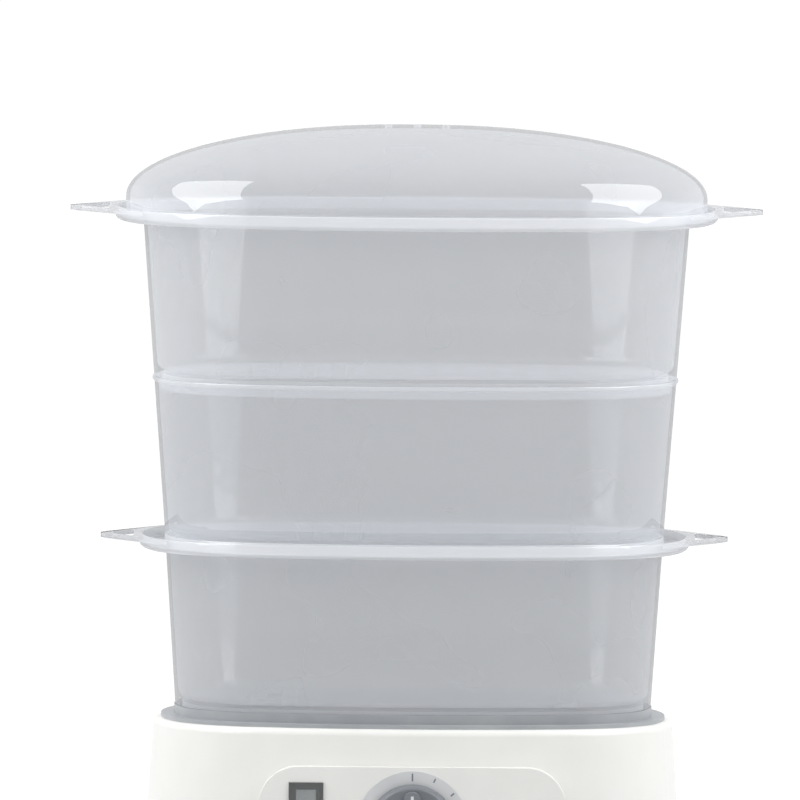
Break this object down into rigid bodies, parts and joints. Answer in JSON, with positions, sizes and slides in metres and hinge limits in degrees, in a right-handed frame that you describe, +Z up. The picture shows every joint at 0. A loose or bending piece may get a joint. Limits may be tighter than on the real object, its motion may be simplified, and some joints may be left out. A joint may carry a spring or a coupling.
{
  "type": "electric food steamer",
  "caption": "Electric food steamer: oval base with timer knob and water tank, drip tray, stacked milky bowls with perforated floors and loop handles, domed lid.",
  "frame": {"origin": "under the middle of the object on the surface it stands on, in the plane of the feet's undersides", "axes": "+Z up along the stack; +X to the right seen from the front, through the loop handles; front with the timer knob towards -Y"},
  "size_m": [0.3804, 0.2394, 0.437],
  "materials": {
    "milky_polypropylene": "milky translucent injection-moulded polypropylene, glossy",
    "grey_polypropylene": "moulded polypropylene, satin",
    "white_abs": "moulded ABS, satin gloss",
    "grey_abs": "moulded ABS, satin",
    "dial_print": "moulded ring with a printed scale",
    "cast_aluminium": "cast and turned",
    "zinc_plated_steel": "zinc plated",
    "element_steel": "heat-darkened sheath",
    "phenolic": "moulded phenolic",
    "silicone_rubber": "moulded, matt",
    "amber_polycarbonate": "clear tinted, polished",
    "lamp_glass": "clear glass",
    "clear_polycarbonate": "clear, polished",
    "red_float": "moulded, satin"
  },
  "bodies": {
    "base": {"base_shell": "white_abs", "water_tank": "white_abs", "bottom_cover": "white_abs", "heater_plate": "cast_aluminium", "heater_seal": "silicone_rubber", "heater_clamp": "zinc_plated_steel", "clamp_nuts": "zinc_plated_steel", "thermostat": "phenolic", "heater_element": "element_steel", "thermal_fuse": "zinc_plated_steel", "timer_body": "phenolic", "dial_ring": "dial_print", "timer_screws": "zinc_plated_steel", "lamp_lens": "amber_polycarbonate", "pilot_lamp": "lamp_glass", "level_window": "clear_polycarbonate", "gauge_back": "white_abs", "cover_screws": "zinc_plated_steel", "feet": "silicone_rubber", "terminal_block": "phenolic", "cord_inlet": "silicone_rubber"},
    "timer": {"timer_knob": "grey_abs", "timer_shaft": "zinc_plated_steel"},
    "float": {"level_float": "red_float"},
    "ring": {"turbo_ring": "grey_polypropylene"},
    "tray": {"drip_tray": "grey_polypropylene"},
    "lower_tier": {"lower_bowl": "milky_polypropylene"},
    "middle_tier": {"middle_bowl": "milky_polypropylene"},
    "upper_tier": {"upper_bowl": "milky_polypropylene"},
    "cover": {"lid": "milky_polypropylene"}
  },
  "joints": [
    {"name": "timer_turn", "type": "hinge", "parent": "base", "child": "timer", "pos_m": [0, -0.1, 0.058], "axis": [0, 1, 0], "range_deg": [0, 300]},
    {"name": "float_rise", "type": "slide", "parent": "base", "child": "float", "axis": [0, 0, 1], "range_m": [0, 0.033]},
    {"name": "ring_lift", "type": "slide", "parent": "base", "child": "ring", "axis": [0, 0, 1], "range_m": [0, 0.02]},
    {"name": "tray_lift", "type": "slide", "parent": "base", "child": "tray", "axis": [0, 0, 1], "range_m": [0, 0.05]},
    {"name": "lower_bowl_lift", "type": "slide", "parent": "tray", "child": "lower_tier", "axis": [0, 0, 1], "range_m": [0, 0.03]},
    {"name": "middle_bowl_lift", "type": "slide", "parent": "lower_tier", "child": "middle_tier", "axis": [0, 0, 1], "range_m": [0, 0.03]},
    {"name": "upper_bowl_lift", "type": "slide", "parent": "middle_tier", "child": "upper_tier", "axis": [0, 0, 1], "range_m": [0, 0.03]},
    {"name": "lid_lift", "type": "slide", "parent": "upper_tier", "child": "cover", "axis": [0, 0, 1], "range_m": [0, 0.06]}
  ]
}
